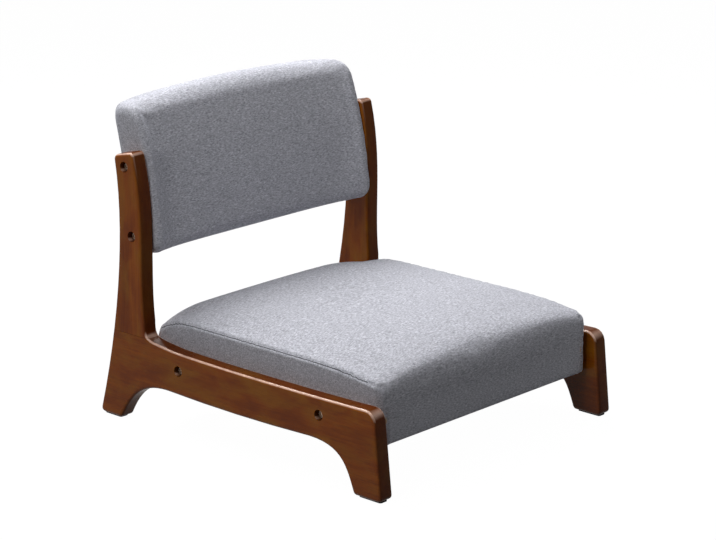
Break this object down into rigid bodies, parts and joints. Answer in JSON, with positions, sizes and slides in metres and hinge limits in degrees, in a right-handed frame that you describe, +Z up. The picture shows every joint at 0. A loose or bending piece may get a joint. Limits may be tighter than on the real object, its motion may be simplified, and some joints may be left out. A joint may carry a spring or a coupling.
{
  "type": "low floor chair",
  "caption": "Low legless chair: shaped wooden side frames hold a thick upholstered seat and a curved upholstered back.",
  "frame": {"origin": "on the floor, in the middle of the chair's whole width and depth", "axes": "+Z up, +X to the sitter's left, -Y the way the sitter faces, so the back stands at +Y"},
  "size_m": [0.48, 0.5401, 0.452],
  "materials": {
    "lacquered_wood": "satin",
    "inner_wood": "matte",
    "upholstery_fabric": "matte",
    "padding_foam": "matte",
    "bolt_steel": "satin",
    "felt": "matte",
    "lining_cloth": "matte"
  },
  "bodies": {
    "root": {"right_side_base": "lacquered_wood", "right_side_post": "lacquered_wood", "right_front_dowel": "inner_wood", "right_rear_dowel": "inner_wood", "right_front_foot_pad": "felt", "right_rear_foot_pad": "felt", "right_seat_front_bolt": "bolt_steel", "right_seat_front_washer": "bolt_steel", "right_seat_front_insert": "bolt_steel", "right_seat_rear_bolt": "bolt_steel", "right_seat_rear_washer": "bolt_steel", "right_seat_rear_insert": "bolt_steel", "right_back_lower_bolt": "bolt_steel", "right_back_lower_washer": "bolt_steel", "right_back_lower_insert": "bolt_steel", "right_back_upper_bolt": "bolt_steel", "right_back_upper_washer": "bolt_steel", "right_back_upper_insert": "bolt_steel", "left_side_base": "lacquered_wood", "left_side_post": "lacquered_wood", "left_front_dowel": "inner_wood", "left_rear_dowel": "inner_wood", "left_front_foot_pad": "felt", "left_rear_foot_pad": "felt", "left_seat_front_bolt": "bolt_steel", "left_seat_front_washer": "bolt_steel", "left_seat_front_insert": "bolt_steel", "left_seat_rear_bolt": "bolt_steel", "left_seat_rear_washer": "bolt_steel", "left_seat_rear_insert": "bolt_steel", "left_back_lower_bolt": "bolt_steel", "left_back_lower_washer": "bolt_steel", "left_back_lower_insert": "bolt_steel", "left_back_upper_bolt": "bolt_steel", "left_back_upper_washer": "bolt_steel", "left_back_upper_insert": "bolt_steel", "seat_cover": "upholstery_fabric", "seat_foam": "padding_foam", "seat_panel": "inner_wood", "seat_front_rail": "inner_wood", "seat_rear_rail": "inner_wood", "seat_right_rail": "inner_wood", "seat_left_rail": "inner_wood", "seat_right_front_corner_block": "inner_wood", "seat_left_front_corner_block": "inner_wood", "seat_right_rear_corner_block": "inner_wood", "seat_left_rear_corner_block": "inner_wood", "seat_dust_cover": "lining_cloth", "backrest_cover": "upholstery_fabric", "backrest_front_foam": "padding_foam", "backrest_rear_foam": "padding_foam", "backrest_panel": "inner_wood", "right_backrest_end_block": "inner_wood", "left_backrest_end_block": "inner_wood"}
  },
  "joints": []
}
